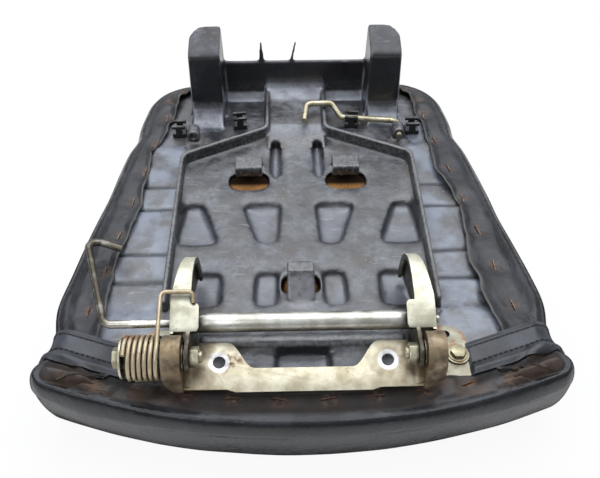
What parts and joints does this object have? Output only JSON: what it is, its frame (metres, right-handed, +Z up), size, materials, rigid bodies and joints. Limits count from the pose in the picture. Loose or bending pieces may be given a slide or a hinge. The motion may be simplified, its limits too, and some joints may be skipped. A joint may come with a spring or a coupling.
{
  "type": "hinged motorcycle saddle",
  "caption": "Hinged padded saddle lying underside up: vinyl-covered cushion on a ribbed moulded pan with horns, hinge arms, sprung hinge plate, folding lever and stay wire.",
  "frame": {"origin": "middle of the underside of the cushion crown, on the surface the saddle lies on", "axes": "+Z up out of the pan, +Y from the hinge end to the nose horns, +X to the right seen from the hinge end"},
  "size_m": [0.3966, 0.4216, 0.1427],
  "materials": {
    "pan_plastic": "dusty scuffed black moulding",
    "foam": "aged open-cell foam",
    "vinyl": "grained black vinyl",
    "vinyl_band": "grained black vinyl with stitching",
    "rusty_wire": "rusted staple wire",
    "arm_steel": "dull zinc plate with grime",
    "tube_steel": "bright zinc plate",
    "fastener_steel": "worn zinc plate with rust",
    "insert_brass": "dull brass",
    "plate_steel": "yellow zinc plate with rust",
    "spring_steel": "oiled and rusted spring wire",
    "rod_steel": "yellowed zinc plate",
    "clip_plastic": "black moulded clip"
  },
  "bodies": {
    "seat": {"seat_pan": "pan_plastic", "foam_cushion": "foam", "seat_cover": "vinyl", "corner_band_left": "vinyl_band", "corner_band_right": "vinyl_band", "staples": "rusty_wire", "hinge_arm_left": "arm_steel", "hinge_arm_right": "arm_steel", "cross_tube": "tube_steel", "foot_bolts": "fastener_steel", "foot_washers": "fastener_steel", "foot_inserts": "insert_brass", "arm_bush_left": "fastener_steel", "arm_bush_right": "fastener_steel", "thrust_washers": "fastener_steel", "torsion_spring": "spring_steel", "clip_outer_left": "clip_plastic", "clip_inner_left": "clip_plastic", "clip_inner_right": "clip_plastic", "clip_outer_right": "clip_plastic"},
    "hinge_leaf": {"hinge_base": "plate_steel", "pivot_bolt_left": "fastener_steel", "pivot_bolt_right": "fastener_steel", "pivot_nuts": "fastener_steel", "spring_sleeve": "tube_steel", "spring_washer": "fastener_steel"},
    "lever": {"lever_rod": "rod_steel", "rod_retainer": "fastener_steel"},
    "stay": {"stay_wire": "rod_steel"}
  },
  "joints": [
    {"name": "seat_hinge", "type": "hinge", "parent": "seat", "child": "hinge_leaf", "pos_m": [0, -0.171, 0.093], "axis": [1, 0, 0], "range_deg": [-160, 0], "stiffness_Nm_per_rad": 0.4, "springref_deg": 28.65, "deforming": ["torsion_spring"]},
    {"name": "lever_fold", "type": "hinge", "parent": "seat", "child": "lever", "pos_m": [0, -0.143, 0.095], "axis": [1, 0, 0], "range_deg": [0, 110]},
    {"name": "stay_fold", "type": "hinge", "parent": "seat", "child": "stay", "pos_m": [0.099, 0.113, 0.07], "axis": [0, 1, 0], "range_deg": [0, 110]}
  ]
}
